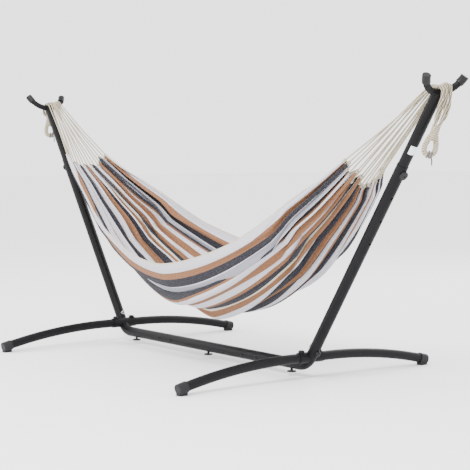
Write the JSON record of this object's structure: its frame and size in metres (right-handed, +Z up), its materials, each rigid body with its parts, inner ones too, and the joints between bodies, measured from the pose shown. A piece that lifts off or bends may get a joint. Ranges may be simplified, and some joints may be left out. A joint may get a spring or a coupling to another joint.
{
  "type": "hammock on stand",
  "caption": "Striped cotton hammock hung by fans of cord between the forked hooks of a low black steel stand with bowed cross feet.",
  "frame": {"origin": "on the floor under the middle of the stand", "axes": "+X along the hammock, +Y to the back, +Z up"},
  "size_m": [2.736, 1.221, 1.1231],
  "materials": {
    "black_steel": "satin powder coat",
    "zinc_steel": "zinc plated",
    "black_bolt": "black zinc",
    "black_plastic": "moulded",
    "black_rubber": "satin",
    "label_film": "blank film",
    "striped_cotton": "woven cotton, striped",
    "cream_cord": "twisted cotton",
    "dark_cord": "braided"
  },
  "bodies": {
    "stand": {"centre_tube": "black_steel", "right_elbow_tube": "black_steel", "left_elbow_tube": "black_steel", "right_upper_tube": "black_steel", "left_upper_tube": "black_steel", "right_hook_bar": "black_steel", "left_hook_bar": "black_steel", "right_foot_socket": "black_steel", "left_foot_socket": "black_steel", "left_foot_arm_back": "black_steel", "left_foot_arm_front": "black_steel", "right_foot_arm_back": "black_steel", "right_foot_arm_front": "black_steel", "left_base_joiner": "zinc_steel", "left_post_nut": "zinc_steel", "left_foot_nuts": "zinc_steel", "left_elbow_nut": "zinc_steel", "right_base_joiner": "zinc_steel", "right_post_nut": "zinc_steel", "right_foot_nuts": "zinc_steel", "right_elbow_nut": "zinc_steel", "left_leveller_nut": "zinc_steel", "centre_leveller_nut": "zinc_steel", "right_leveller_nut": "zinc_steel", "left_joiner_screws": "black_bolt", "left_foot_bolts": "black_bolt", "left_elbow_bolt": "black_bolt", "right_joiner_screws": "black_bolt", "right_foot_bolts": "black_bolt", "right_elbow_bolt": "black_bolt", "left_foot_cap_back": "black_plastic", "left_foot_cap_front": "black_plastic", "right_foot_cap_back": "black_plastic", "right_foot_cap_front": "black_plastic", "left_hook_cap_back": "black_rubber", "left_hook_cap_front": "black_rubber", "right_hook_cap_back": "black_rubber", "right_hook_cap_front": "black_rubber", "label": "label_film", "left_saddle_wrap": "cream_cord", "right_saddle_wrap": "cream_cord"},
    "hammock": {"fabric_bed": "striped_cotton", "left_cord_fan": "cream_cord", "right_cord_fan": "cream_cord"},
    "left_loop": {"left_tail_bundle": "cream_cord", "left_eye": "cream_cord", "left_eye_tie": "dark_cord"},
    "right_loop": {"right_tail_bundle": "cream_cord", "right_eye": "cream_cord", "right_eye_tie": "dark_cord"},
    "left_foot_screw": {"left_leveller": "black_plastic"},
    "centre_foot_screw": {"centre_leveller": "black_plastic"},
    "right_foot_screw": {"right_leveller": "black_plastic"},
    "left_knob": {"left_post_knob": "black_plastic"},
    "right_knob": {"right_post_knob": "black_plastic"}
  },
  "joints": [
    {"name": "hammock_swing", "type": "hinge", "parent": "stand", "child": "hammock", "pos_m": [0, 0, 1.058], "axis": [1, 0, 0], "range_deg": [-35, 35]},
    {"name": "left_loop_swing", "type": "hinge", "parent": "stand", "child": "left_loop", "pos_m": [-1.31792, 0, 1.058], "axis": [0, 1, 0], "range_deg": [-4, 35]},
    {"name": "right_loop_swing", "type": "hinge", "parent": "stand", "child": "right_loop", "pos_m": [1.31792, 0, 1.058], "axis": [0, -1, 0], "range_deg": [-8, 35]},
    {"name": "left_leveller_screw", "type": "slide", "parent": "stand", "child": "left_foot_screw", "axis": [0, 0, -1], "range_m": [-0.007, 0.0145]},
    {"name": "centre_leveller_screw", "type": "slide", "parent": "stand", "child": "centre_foot_screw", "axis": [0, 0, -1], "range_m": [-0.007, 0.0145]},
    {"name": "right_leveller_screw", "type": "slide", "parent": "stand", "child": "right_foot_screw", "axis": [0, 0, -1], "range_m": [-0.007, 0.0145]},
    {"name": "left_knob_turn", "type": "hinge", "parent": "stand", "child": "left_knob", "pos_m": [-1.13618, 0, 0.78856], "axis": [-0.829, 0, -0.5592], "continuous": true},
    {"name": "right_knob_turn", "type": "hinge", "parent": "stand", "child": "right_knob", "pos_m": [1.13618, 0, 0.78856], "axis": [0.829, 0, -0.5592], "continuous": true}
  ]
}
